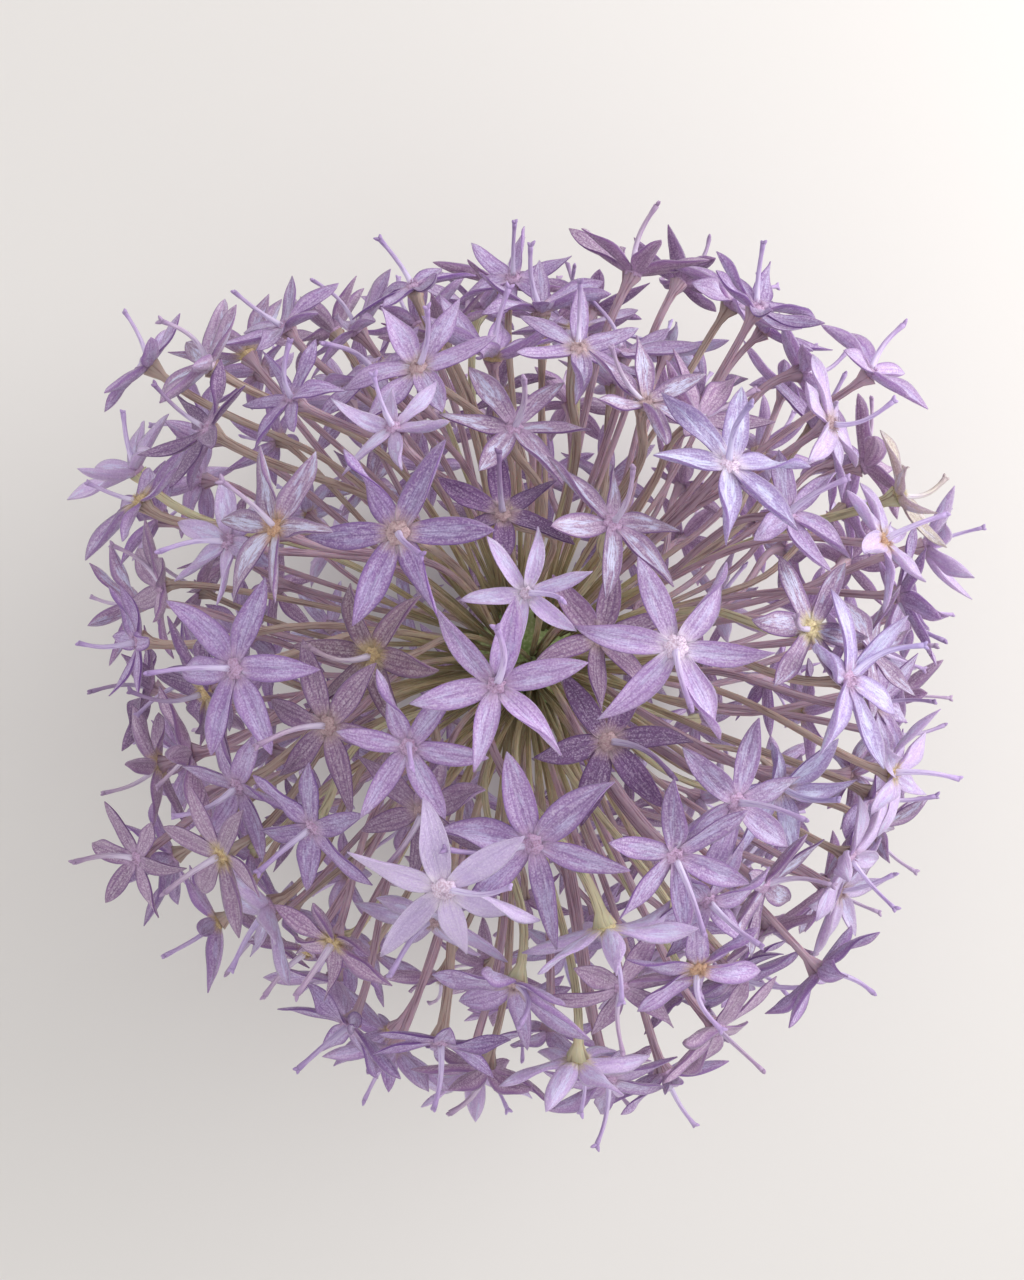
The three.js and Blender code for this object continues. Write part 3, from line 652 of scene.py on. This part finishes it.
def pedicel_lines(florets, rng):
    """(florets, points, 3): from the root through the bend, and square into the floret from below."""
    root, bend, axis = florets["root"], florets["bend"], florets["axis"]
    end = florets["middle"] - axis * PEDICEL_SINK
    chord = (end - root) * PEDICEL_CHORD
    lower = curve(root, bend, (bend - root) * PEDICEL_PULL, chord, PEDICEL_ROWS // 2)
    length = column(np.linalg.norm(end - bend, axis=-1))
    upper = curve(bend, end, chord, axis * length * PEDICEL_PULL, PEDICEL_ROWS // 2 + 1)
    lines = np.concatenate([lower, upper[:, 1:]], 1)
    share = np.linspace(0, 1, PEDICEL_ROWS)
    shape = (len(lines), 1, 3)
    bow = np.clip(rng.normal(0, PEDICEL_WANDER, shape), -MOST_WANDER, MOST_WANDER)
    sway = np.clip(rng.normal(0, PEDICEL_WANDER, shape), -MOST_WANDER, MOST_WANDER)
    bow = bow * column(np.sin(math.pi * share))
    sway = sway * column(np.sin(2 * math.pi * share)) * SECOND_WAVE
    return lines + bow + sway


def length_along(lines):
    steps = np.linalg.norm(np.diff(lines, axis=-2), axis=-1)
    return np.concatenate([np.zeros((*steps.shape[:-1], 1)), np.cumsum(steps, -1)], -1)


def pedicel_loops(lines, florets, rng):
    """(florets, 1, rows, columns, 3): a grooved stalk that flares like a trumpet under the floret."""
    covered = length_along(lines)
    total = covered[:, -1:]
    left = total - covered
    radius = PEDICEL_FOOT_RADIUS + (PEDICEL_FINE_RADIUS - PEDICEL_FOOT_RADIUS) * covered / total
    radius = radius * rng.uniform(THINNEST, THICKEST, (len(lines), 1))
    flare = np.clip(1 - left / FUNNEL_LENGTH, 0, 1) ** FUNNEL_FLARE
    radius = radius + (FUNNEL_RADIUS - radius) * flare
    grooves = 1 + GROOVE * np.cos(np.arange(PEDICEL_COLUMNS) * math.pi)
    radii = column(radius) * grooves
    return round_loops(lines, radii, PEDICEL_COLUMNS, florets["u"][:, None])[:, None]


# ---------- Meshes ----------


def pressed_up(loops):
    """Loops with each row lifted clear of the surface that the head rests on."""
    lowest = loops[..., 2].min(-1, keepdims=True)
    loops[..., 2] -= np.minimum(0, lowest)
    return loops


def skin(*parts):
    """The points and faces of closed skins over loops shaped (..., rows, columns, 3), as one mesh."""
    points, faces = np.empty((0, 3)), []
    for loops in map(pressed_up, parts):
        rows, columns = loops.shape[-3:-1]
        corner = len(points) + np.arange(loops.size // 3).reshape(-1, rows, columns)
        ahead = np.roll(corner, -1, 2)
        sides = np.stack([corner[:, :-1], ahead[:, :-1], ahead[:, 1:], corner[:, 1:]], -1)
        caps = np.concatenate([corner[:, 0, ::-1], corner[:, -1]])
        points = np.concatenate([points, loops.reshape(-1, 3)])
        faces += sides.reshape(-1, 4).tolist() + caps.tolist()
    return points, faces


def make_mesh(name, points, faces, colours, numbers):
    """A smooth mesh in metres. colours and numbers are named values for each point."""
    mesh = bpy.data.meshes.new(name)
    mesh.from_pydata(points * MM, [], faces)
    mesh.shade_smooth()
    for key, values in colours.items():
        layer = mesh.attributes.new(key, "FLOAT_COLOR", "POINT")
        with_alpha = np.concatenate([values, np.ones((len(values), 1))], 1)
        layer.data.foreach_set("color", with_alpha.astype(np.float32).ravel())
    for key, values in numbers.items():
        layer = mesh.attributes.new(key, "FLOAT_VECTOR", "POINT")
        layer.data.foreach_set("vector", values.astype(np.float32).ravel())
    piece = bpy.data.objects.new(name, mesh)
    bpy.context.scene.collection.objects.link(piece)
    return piece


def spread_over(values, *parts):
    """One row of values a floret, repeated for every point of that floret's loops in each part."""
    return np.concatenate([np.repeat(values, loops[0].size // 3, axis=0) for loops in parts])


def dress(piece, material, slot, *nodes):
    piece.data.materials.append(material)
    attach(piece, "root")
    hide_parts(*nodes)


# ---------- Materials ----------

# Noise along a piece's own directions: how fast it changes in each
VEINS, STRANDS, PATCHES = (4.0, 0.3, 9.0), (13.0, 0.8, 5.0), (1.6, 0.22, 7.0)
STYLE_LINES, SCAPE_LINES = (2.0, 2.0, 0.35), (1500.0, 1500.0, 40.0)
AROUND_STALK, ALONG_STALK = 2.2, 0.12
# Noise in the object's space, per metre
TEPAL_MOTTLE, TEPAL_VELVET, STYLE_GRAINS = 1500.0, 3800.0, 5000.0
HEART_CLUMPS, HEART_GRAINS = 3800.0, 8000.0
STALK_MOTTLE, SCAPE_PATCHES, FLOOR_CLOUDS = 700.0, 160.0, 2.5
BUMP_STRENGTH = 0.7


def add(tree, kind, inputs=None, **settings):
    """A node with its settings, and its inputs linked or set."""
    node = tree.nodes.new(kind)
    for key, value in settings.items():
        setattr(node, key, value)
    for key, value in (inputs or {}).items():
        if isinstance(value, bpy.types.NodeSocket):
            tree.links.new(value, node.inputs[key])
        else:
            node.inputs[key].default_value = value
    return node


def attribute(tree, name, output="Vector"):
    return add(tree, "ShaderNodeAttribute", attribute_name=name).outputs[output]


def calculate(tree, operation, *values):
    return add(tree, "ShaderNodeMath", dict(enumerate(values)), operation=operation).outputs[0]


def smooth_step(tree, value, low, high, top=1.0):
    """From 0 where value is low to top where it is high."""
    inputs = {"Value": value, "From Min": low, "From Max": high, "To Max": top}
    return add(tree, "ShaderNodeMapRange", inputs, interpolation_type="SMOOTHSTEP").outputs["Result"]


def mix(tree, share, first, second, blend="MIX"):
    inputs = {0: share, 6: first, 7: second}
    return add(tree, "ShaderNodeMix", inputs, data_type="RGBA", blend_type=blend).outputs[2]


def tinted(tree, colour, tint):
    return mix(tree, 1.0, colour, (*tint, 1.0), "MULTIPLY")


def painted(tree, colour, *layers):
    """The colour under its layers. Each is a colour with the value that places it, where that value
    gives none of it and where the most, how much the most is, and any factors of that."""
    for over, value, none_at, most_at, most, *factors in layers:
        share = smooth_step(tree, value, none_at, most_at, most)
        for factor in factors:
            share = calculate(tree, "MULTIPLY", share, factor)
        colour = mix(tree, share, colour, over)
    return colour


def noise(tree, vector, scale, detail=2.0, distortion=0.0):
    inputs = {"Vector": vector, "Scale": scale, "Detail": detail, "Distortion": distortion}
    return add(tree, "ShaderNodeTexNoise", inputs).outputs["Fac"]


def combined(tree, parts):
    return add(tree, "ShaderNodeCombineXYZ", dict(enumerate(parts))).outputs["Vector"]


def stretched(tree, parts, scales):
    """A vector of the three parts, each times its own scale."""
    return combined(tree, [calculate(tree, "MULTIPLY", *pair) for pair in zip(parts, scales)])


def separated(tree, vector):
    return add(tree, "ShaderNodeSeparateXYZ", {0: vector}).outputs


def object_place(tree):
    return add(tree, "ShaderNodeTexCoord").outputs["Object"]


def new_material(name, **shader):
    """A material and its tree, with the shader's inputs set."""
    material = bpy.data.materials.new(name)
    material.use_nodes = True
    principled = material.node_tree.nodes["Principled BSDF"]
    for key, value in shader.items():
        principled.inputs[key.replace("_", " ")].default_value = value
    return material, material.node_tree


def with_surface(material, colour, roughness, height, depth):
    """The material, with its colour, roughness and relief."""
    tree = material.node_tree
    principled = tree.nodes["Principled BSDF"]
    relief = {"Height": height, "Strength": BUMP_STRENGTH, "Distance": depth}
    normal = add(tree, "ShaderNodeBump", relief).outputs["Normal"]
    tree.links.new(colour, principled.inputs["Base Color"])
    tree.links.new(roughness, principled.inputs["Roughness"])
    tree.links.new(normal, principled.inputs["Normal"])
    return material


def tepal_material():
    """Velvety tissue with lengthwise veins, darker edges, a heart-coloured foot and a painted pearly
    sheen, which is a painted highlight.
    """
    material, tree = new_material(
        "tepal_velvet",
        Subsurface_Weight=0.35,
        Subsurface_Radius=(1.0, 0.8, 1.0),
        Subsurface_Scale=0.0014,
        Sheen_Weight=0.2,
        Sheen_Roughness=0.4,
        Specular_IOR_Level=0.35,
    )
    tone, heart = attribute(tree, "tone", "Color"), attribute(tree, "heart", "Color")
    blade = separated(tree, attribute(tree, "blade"))
    pearl, rough = separated(tree, attribute(tree, "painted_sheen"))[:2]
    place = object_place(tree)
    veins = noise(tree, stretched(tree, blade, VEINS), 1.0, 3.0, 0.7)
    strands = noise(tree, stretched(tree, blade, STRANDS), 1.0, 2.0, 0.4)
    patches = noise(tree, stretched(tree, blade, PATCHES), 1.0, 2.0)
    mottle = noise(tree, place, TEPAL_MOTTLE, 3.0)
    velvet = noise(tree, place, TEPAL_VELVET, 2.0)
    offside, distance = calculate(tree, "ABSOLUTE", blade[0]), blade[1]
    wander = calculate(tree, "MULTIPLY_ADD", veins, 0.5, -0.66)
    from_groove = calculate(tree, "ABSOLUTE", calculate(tree, "ADD", offside, wander))
    foot = calculate(tree, "MULTIPLY_ADD", strands, 2.6, 0.75)
    from_foot = calculate(tree, "SUBTRACT", distance, foot)
    inside, painted_sheen_strands = smooth_step(tree, offside, 0.8, 0.5), smooth_step(tree, strands, 0.3, 0.55)

    vein = tinted(tree, tone, (0.66, 0.52, 0.70))
    deep = tinted(tree, tone, (0.46, 0.33, 0.54))
    rim = tinted(tree, tone, (0.30, 0.18, 0.42))
    light = mix(tree, 0.45, tone, (0.86, 0.80, 0.92, 1.0))
    # painted highlight: a bluish-white pearly sheen, in patches along the strands and kept off the
    # edges
    painted_sheen = (0.70, 0.73, 0.98, 1.0)
    colour = painted(
        tree,
        tone,
        (vein, veins, 0.54, 0.38, 0.8, rough),
        (light, strands, 0.5, 0.7, 0.5),
        (light, mottle, 0.5, 0.72, 0.3),
        (vein, velvet, 0.52, 0.38, 0.95, rough),
        (light, velvet, 0.54, 0.65, 0.6),
        (deep, from_groove, 0.1, 0.02, 0.65, rough),
        (deep, offside, 0.66, 0.96, 1.0, rough),  # towards the edge
        (rim, offside, 0.86, 0.98, 0.8, rough),
        (deep, offside, 0.1, 0.02, 0.5, rough),  # the midrib
        (vein, distance, 9.6, 11.2, 0.35),  # the tip
        (heart, from_foot, 1.0, -0.9, 0.75),
        (painted_sheen, patches, 0.47, 0.6, 1.0, pearl, inside, painted_sheen_strands),
    )

    roughness = calculate(tree, "ADD", smooth_step(tree, mottle, 0.1, 0.9, 0.4), 0.4)
    height = calculate(tree, "ADD", veins, calculate(tree, "MULTIPLY", strands, 0.6))
    height = calculate(tree, "ADD", height, calculate(tree, "MULTIPLY", velvet, 0.35))
    return with_surface(material, colour, roughness, height, depth=0.0003)


def heart_material():
    """The fuzzy centre: streaked from its middle outward."""
    material, tree = new_material(
        "centre_fuzz", Sheen_Weight=0.3, Sheen_Roughness=0.5, Specular_IOR_Level=0.25
    )
    heart = attribute(tree, "heart", "Color")
    place = object_place(tree)
    clumps, grains = noise(tree, place, HEART_CLUMPS, 3.0), noise(tree, place, HEART_GRAINS, 1.0)
    deep = tinted(tree, heart, (0.74, 0.62, 0.66))
    light = mix(tree, 0.25, heart, (0.92, 0.86, 0.90, 1.0))
    colour = painted(tree, deep, (heart, clumps, 0.35, 0.6, 1.0), (light, grains, 0.5, 0.7, 0.6))
    roughness = smooth_step(tree, grains, -0.8, 1.2)
    return with_surface(material, colour, roughness, clumps, depth=0.0001)


def style_material():
    """Pale at the foot, lilac towards the tip, with fine lengthwise lines."""
    material, tree = new_material(
        "style_skin",
        Subsurface_Weight=0.15,
        Subsurface_Radius=(1.0, 0.8, 1.0),
        Subsurface_Scale=0.0008,
    )
    tone = attribute(tree, "tone", "Color")
    place_on_skin = separated(tree, attribute(tree, "skin"))
    distance = place_on_skin[2]
    lines = noise(tree, stretched(tree, place_on_skin, STYLE_LINES), 1.0, 3.0)
    grains = noise(tree, object_place(tree), STYLE_GRAINS, 1.0)
    pale = mix(tree, 0.6, tone, (0.80, 0.76, 0.95, 1.0))
    colour = painted(tree, pale, (tone, distance, 0.5, 8.5, 0.85))
    deep = tinted(tree, colour, (0.6, 0.48, 0.7))
    colour = painted(tree, colour, (deep, lines, 0.5, 0.3, 0.8), (deep, distance, 9.2, 10.4, 0.5))
    roughness = smooth_step(tree, grains, -0.6, 1.6)
    return with_surface(material, colour, roughness, lines, depth=0.0002)


def stalk_material():
    """Grooved skin: painted shade at the root deep inside the head, olive further out, and the
    floret's own stalk colour towards the tepals.
    """
    material, tree = new_material(
        "stalk_skin", Subsurface_Weight=0.25, Subsurface_Scale=0.0012, Specular_IOR_Level=0.35
    )
    tone = attribute(tree, "tone", "Color")
    cos, sin, seed = separated(tree, attribute(tree, "skin"))
    share, distance = separated(tree, attribute(tree, "reach"))[:2]
    around = [calculate(tree, "MULTIPLY", part, AROUND_STALK) for part in (cos, sin)]
    along = calculate(tree, "MULTIPLY_ADD", distance, ALONG_STALK, seed)
    lines = noise(tree, combined(tree, [*around, along]), 1.3, 3.0, 0.3)
    mottle = noise(tree, object_place(tree), STALK_MOTTLE, 3.0)
    olive = mix(tree, mottle, (0.38, 0.32, 0.16, 1.0), (0.62, 0.54, 0.34, 1.0))
    # painted shade: the darkest colour sits at the root, deep inside the head
    shade = mix(tree, mottle, (0.20, 0.18, 0.08, 1.0), (0.36, 0.31, 0.18, 1.0))
    colour = painted(tree, shade, (olive, share, 0.05, 0.3, 1.0), (tone, share, 0.2, 0.5, 1.0))
    deep = tinted(tree, colour, (0.42, 0.32, 0.38))
    light = mix(tree, 0.4, colour, (0.80, 0.74, 0.70, 1.0))
    colour = painted(tree, colour, (deep, lines, 0.5, 0.36, 0.75), (light, lines, 0.55, 0.7, 0.5))
    roughness = smooth_step(tree, mottle, -0.9, 1.4)
    return with_surface(material, colour, roughness, lines, depth=0.0003)


def green_material():
    """The scape and the receptacle: green, finely lined, with a soft bloom."""
    material, tree = new_material("scape_skin", Specular_IOR_Level=0.4)
    place = object_place(tree)
    lines = noise(tree, stretched(tree, separated(tree, place), SCAPE_LINES), 1.0, 3.0)
    patches = noise(tree, place, SCAPE_PATCHES, 3.0)
    deep, pale = (0.16, 0.25, 0.06, 1.0), (0.33, 0.40, 0.16, 1.0)
    ridge, cleft = (0.50, 0.53, 0.30, 1.0), (0.10, 0.14, 0.04, 1.0)
    colour = painted(
        tree,
        deep,
        (pale, patches, 0.3, 0.7, 1.0),
        (ridge, lines, 0.5, 0.7, 0.5),
        (cleft, lines, 0.45, 0.3, 0.6),
    )
    roughness = smooth_step(tree, patches, -0.8, 1.6)
    return with_surface(material, colour, roughness, lines, depth=0.0004)


def floor_material():
    material, tree = new_material("pale_floor", Specular_IOR_Level=0.2)
    cloud = noise(tree, object_place(tree), FLOOR_CLOUDS, 3.0)
    colour = mix(tree, cloud, (0.68, 0.66, 0.645, 1.0), (0.72, 0.705, 0.69, 1.0))
    roughness = smooth_step(tree, cloud, -1.5, 1.5)
    return with_surface(material, colour, roughness, cloud, depth=0.0005)


# ---------- The flower head's pieces ----------


def make_tepals(node, florets, loops, seeds, material):
    blade, painted_sheen = np.empty_like(loops), np.zeros_like(loops)
    blade[..., 0] = np.cos(angles_round(TEPAL_COLUMNS))
    blade[..., 1] = (TEPAL_LENGTH * TEPAL_SHARES)[:, None]
    blade[..., 2] = seeds[..., None, None]
    # the painted sheen's share, which is a painted highlight, and how marked the veins are
    painted_sheen[..., 0] = florets["pearl"][:, None, None, None]
    painted_sheen[..., 1] = florets["rough"][:, None, None, None]
    points, faces = skin(loops)
    own_shade = TEPAL_SHADE_LOW + (TEPAL_SHADE_HIGH - TEPAL_SHADE_LOW) * seeds[..., None, None, None]
    tone = spread_over(florets["tone"], loops).reshape(loops.shape) * own_shade
    colours = {"tone": tone.reshape(-1, 3), "heart": spread_over(florets["heart"], loops)}
    numbers = {"blade": blade, "painted_sheen": painted_sheen}
    dress(make_mesh(f"{node}_tepals", points, faces, colours, numbers), material, "tepal", node)


def make_centres(node, florets, domes, hairs, material):
    points, faces = skin(domes, hairs)
    colours = {"heart": spread_over(florets["heart"], domes, hairs)}
    dress(make_mesh(f"{node}_centres", points, faces, colours, {}), material, "floret_centre", node)


def around_and_along(loops, third):
    """The cosine and sine round each loop, and a third number for each point."""
    angle = angles_round(loops.shape[-2])
    values = np.empty_like(loops)
    values[..., 0] = np.cos(angle)
    values[..., 1] = np.sin(angle)
    values[..., 2] = third
    return values.reshape(-1, 3)


def make_styles(node, florets, stalks, lobes, material):
    points, faces = skin(stalks, lobes)
    colours = {"tone": spread_over(florets["tone"], stalks, lobes)}
    distance = STYLE_LENGTH * np.linspace(0, 1, STYLE_ROWS)[:, None]
    skins = [around_and_along(stalks, distance), around_and_along(lobes, STYLE_LENGTH)]
    numbers = {"skin": np.concatenate(skins)}
    dress(make_mesh(f"{node}_styles", points, faces, colours, numbers), material, "tepal", node)


def make_pedicels(node, florets, loops, lines, seeds, material):
    points, faces = skin(loops)
    covered = length_along(lines)
    reach = np.zeros_like(loops)
    reach[..., 0] = (covered / covered[:, -1:])[:, None, :, None]
    reach[..., 1] = covered[:, None, :, None]
    skins = around_and_along(loops, seeds[:, None, None, None] * SEED_REACH)
    numbers = {"skin": skins, "reach": reach}
    colours = {"tone": spread_over(florets["stalk"], loops)}
    dress(make_mesh(f"{node}_pedicels", points, faces, colours, numbers), material, "pedicel", node)


def make_receptacle(florets, material, nodes):
    """A knob with a small swelling where each pedicel starts."""
    bpy.ops.mesh.primitive_ico_sphere_add(subdivisions=RECEPTACLE_SUBDIVISIONS, radius=1)
    piece = bpy.context.object
    piece.name = piece.data.name = "receptacle"
    towards = unit(np.array([vertex.co for vertex in piece.data.vertices]))
    starts = unit(florets["root"] - CENTRE)
    nearness = (towards @ starts.T).max(1)
    radius = RECEPTACLE_OUTER - SWELLING_SINK + SWELLING * np.exp((nearness - 1) / SWELLING_SPREAD)
    points = towards * column(radius)
    points[:, 2] = np.maximum(points[:, 2], -RECEPTACLE_UNDERSIDE)
    piece.data.vertices.foreach_set("co", ((points + CENTRE) * MM).ravel())
    piece.data.shade_smooth()
    dress(piece, material, "scape", *nodes)


def make_scape(material, node):
    """A stalk with faint ridges, a cut end with a pith ring, and its top inside the receptacle."""
    top = GLOBE_HEIGHT - RECEPTACLE_UNDERSIDE + SCAPE_OVERLAP
    cut_end = np.zeros(len(CUT_RINGS))
    heights = np.concatenate([cut_end, [EDGE_BEVEL], np.linspace(SKIN_START, top, SCAPE_ROWS)])
    radii = np.full(len(heights), float(SCAPE_RADIUS))
    radii[: len(CUT_RINGS)] *= CUT_RINGS
    lines = np.zeros((len(heights), 3))
    lines[:, 2] = heights
    angle = angles_round(SCAPE_SIDES)
    ridges = RIDGE_DEPTH * (1 + np.cos(SCAPE_RIDGES * angle))
    uneven = 1 - ridges + SCAPE_WAVER * np.sin(WAVER_TURNS * heights)[:, None]
    spoke = np.stack([np.cos(angle), np.sin(angle), np.zeros(SCAPE_SIDES)], -1)
    loops = lines[:, None] + spoke * column(radii[:, None] * uneven)
    points, faces = skin(loops)
    dress(make_mesh("scape_stalk", points, faces, {}, {}), material, "scape", node)


def make_head():
    rng = np.random.default_rng(SEED)
    florets = place_florets()
    add_roots(florets)
    add_tones(florets, rng)
    stalk_lines, style_paths = pedicel_lines(florets, rng), style_lines(florets, rng)
    tepals = tepal_loops(florets, rng)
    domes, hairs = dome_loops(florets, rng), hair_loops(florets, rng)
    styles, lobes = style_loops(style_paths, rng), lobe_loops(style_paths, rng)
    pedicels = pedicel_loops(stalk_lines, florets, rng)
    seeds = rng.uniform(0, 1, (len(tepals), TEPAL_COUNT))
    velvet, fuzz, style_skin = tepal_material(), heart_material(), style_material()
    stalk_skin, green = stalk_material(), green_material()
    nodes = [f"cyme_{i + 1:02d}" for i in range(CYME_COUNT)]
    for index, node in enumerate(nodes):
        own = florets["cyme"] == index
        members = {name: values[own] for name, values in florets.items()}
        make_tepals(node, members, tepals[own], seeds[own], velvet)
        make_centres(node, members, domes[own], hairs[own], fuzz)
        make_styles(node, members, styles[own], lobes[own], style_skin)
        own_lines, own_seeds = stalk_lines[own], seeds[own, 0]
        make_pedicels(node, members, pedicels[own], own_lines, own_seeds, stalk_skin)
    make_receptacle(florets, green, nodes)
    make_scape(green, "scape")


# ---------- Floor, light and camera: metres ----------

FLOOR_SIZE = 40
ROOM_COLOUR, ROOM_STRENGTH = (1.0, 0.985, 0.97, 1.0), 0.925
WINDOW_PLACE, WINDOW_SIZE = (0.42, 0.22, 0.30), 0.5
WINDOW_WATTS, WINDOW_COLOUR = 2.35, (1.0, 0.99, 0.98)
CAMERA_PLACE = np.array([-2.3, 3.1, GLOBE_HEIGHT + 225]) * MM
SENSOR_WIDTH, LENS_LENGTH = 36, 36.2  # millimetres
NEAREST_SEEN, FARTHEST_SEEN = 0.01, 20


def make_floor():
    bpy.ops.mesh.primitive_plane_add(size=FLOOR_SIZE)
    floor = bpy.context.object
    floor.name = "floor"
    floor.data.materials.append(floor_material())


def make_room_light():
    world = bpy.data.worlds.new("soft_room")
    world.use_nodes = True
    background = world.node_tree.nodes["Background"]
    background.inputs["Color"].default_value = ROOM_COLOUR
    background.inputs["Strength"].default_value = ROOM_STRENGTH
    bpy.context.scene.world = world


def make_window():
    """A broad lamp at the right, aimed at the globe's middle."""
    lamp = bpy.data.lights.new("window", "AREA")
    lamp.shape = "DISK"
    lamp.size = WINDOW_SIZE
    lamp.energy = WINDOW_WATTS
    lamp.color = WINDOW_COLOUR
    window = bpy.data.objects.new("window", lamp)
    window.location = WINDOW_PLACE
    aim = CENTRE * MM - np.array(WINDOW_PLACE)
    window.rotation_euler = Vector(aim).to_track_quat("-Z", "Y").to_euler()
    bpy.context.scene.collection.objects.link(window)


def make_camera():
    """Straight above the head, with the photograph's upper edge towards +Y."""
    lens = bpy.data.cameras.new("camera")
    lens.sensor_width, lens.lens = SENSOR_WIDTH, LENS_LENGTH
    lens.clip_start, lens.clip_end = NEAREST_SEEN, FARTHEST_SEEN
    camera = bpy.data.objects.new("camera", lens)
    camera.location = CAMERA_PLACE
    bpy.context.scene.collection.objects.link(camera)
    bpy.context.scene.camera = camera


make_head()
make_floor()
make_room_light()
make_window()
make_camera()
bpy.context.scene.view_settings.view_transform = "Standard"
